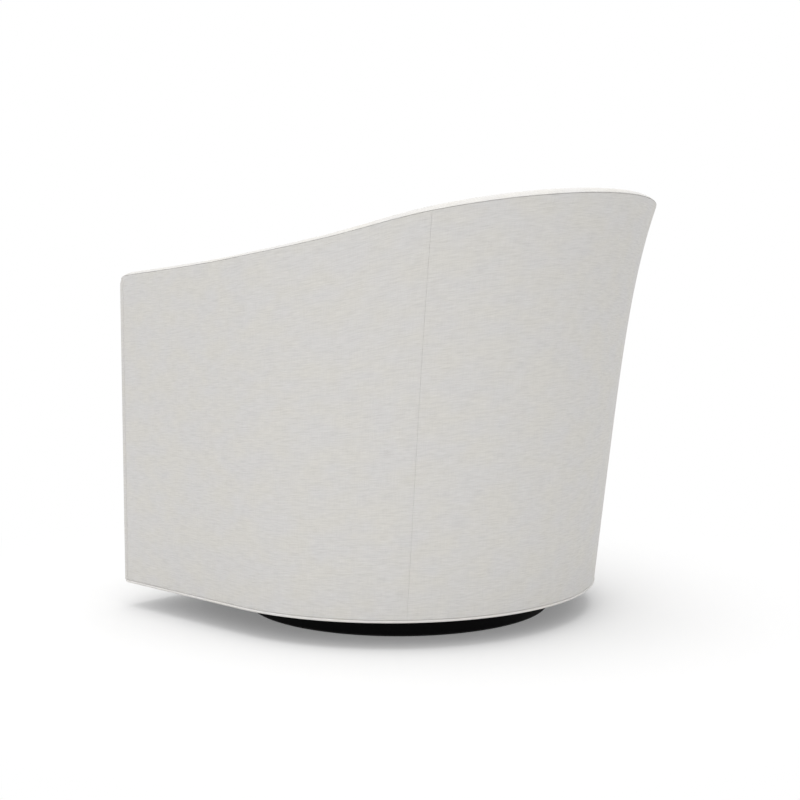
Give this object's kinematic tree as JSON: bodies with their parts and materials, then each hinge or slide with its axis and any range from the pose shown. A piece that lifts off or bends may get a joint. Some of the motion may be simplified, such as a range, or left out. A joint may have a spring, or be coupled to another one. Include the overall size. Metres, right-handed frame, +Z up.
{
  "type": "swivel barrel chair",
  "caption": "Upholstered barrel armchair with a flared round back, loose boxed seat cushion and welted base, turning freely on a round plinth.",
  "frame": {"origin": "on the floor, on the vertical axis that the seat turns about", "axes": "+Z up, the chair faces -Y, +X to the sitter's left"},
  "size_m": [0.775, 0.8499, 0.7565],
  "materials": {
    "body_fabric": "matte",
    "welt_fabric": "matte",
    "dust_cloth": "matte",
    "deck_fabric": "matte",
    "felt_pad": "matte",
    "wadding": "matte",
    "padding_foam": "matte",
    "cushion_foam": "matte",
    "frame_wood": "matte",
    "frame_plywood": "matte",
    "base_plywood": "matte",
    "plinth_black": "satin",
    "backing_board": "matte",
    "foot_rubber": "matte",
    "zinc_steel": "satin",
    "bolt_steel": "satin",
    "spring_steel": "satin",
    "clip_steel": "satin",
    "ball_steel": "polished",
    "cage_plastic": "matte",
    "zip_tape": "matte"
  },
  "bodies": {
    "base": {"plinth_foot_strip": "foot_rubber", "plinth_ring": "plinth_black", "plinth_top_board": "base_plywood", "plinth_glue_blocks": "base_plywood", "lower_swivel_plate": "zinc_steel", "swivel_hub": "zinc_steel", "lower_plate_screws": "bolt_steel"},
    "cage": {"ball_cage": "cage_plastic", "bearing_balls": "ball_steel"},
    "seat": {"arm_front_cover_left": "body_fabric", "arm_front_cover_right": "body_fabric", "arm_stump_left": "frame_wood", "arm_stump_right": "frame_wood", "arm_top_rail_left": "frame_wood", "arm_top_rail_right": "frame_wood", "back_post_left": "frame_wood", "back_post_right": "frame_wood", "back_stile": "frame_wood", "back_top_rail": "frame_plywood", "bottom_welt": "welt_fabric", "dust_cover": "dust_cloth", "front_rail_cover": "body_fabric", "front_rail_padding": "padding_foam", "inside_arm_cover_left": "body_fabric", "inside_arm_cover_right": "body_fabric", "inside_arm_foam_left": "padding_foam", "inside_arm_foam_right": "padding_foam", "inside_back_cover": "body_fabric", "inside_back_foam": "padding_foam", "inside_backing_board": "backing_board", "lower_back_rail": "frame_plywood", "lower_front_rail": "frame_wood", "lower_side_rail_left": "frame_wood", "lower_side_rail_right": "frame_wood", "outside_arm_cover_left": "body_fabric", "outside_arm_cover_right": "body_fabric", "outside_back_cover": "body_fabric", "outside_wadding": "wadding", "seat_back_rail": "frame_plywood", "seat_cushion_core": "cushion_foam", "seat_cushion_cover": "body_fabric", "seat_cushion_welt_bottom": "welt_fabric", "seat_cushion_welt_top": "welt_fabric", "seat_cushion_zipper": "zip_tape", "seat_deck_cloth": "deck_fabric", "seat_front_rail": "frame_wood", "seat_side_rail_left": "frame_wood", "seat_side_rail_right": "frame_wood", "side_post_left": "frame_wood", "side_post_right": "frame_wood", "sinuous_springs": "spring_steel", "spring_clips": "clip_steel", "spring_insulator_pad": "felt_pad", "swivel_mount_board": "frame_plywood", "tee_nuts": "bolt_steel", "top_boxing": "body_fabric", "top_edge_padding": "padding_foam", "upper_plate_bolts": "bolt_steel", "upper_swivel_plate": "zinc_steel"}
  },
  "joints": [
    {"name": "seat_swivel", "type": "hinge", "parent": "base", "child": "seat", "pos_m": [0, 0, 0.041], "axis": [0, 0, 1], "continuous": true},
    {"name": "cage_roll", "type": "hinge", "parent": "base", "child": "cage", "pos_m": [0, 0, 0.041], "axis": [0, 0, 1], "continuous": true}
  ],
  "couplings": [
    {"joint": "cage_roll", "follows": "seat_swivel", "ratio": 0.5}
  ]
}
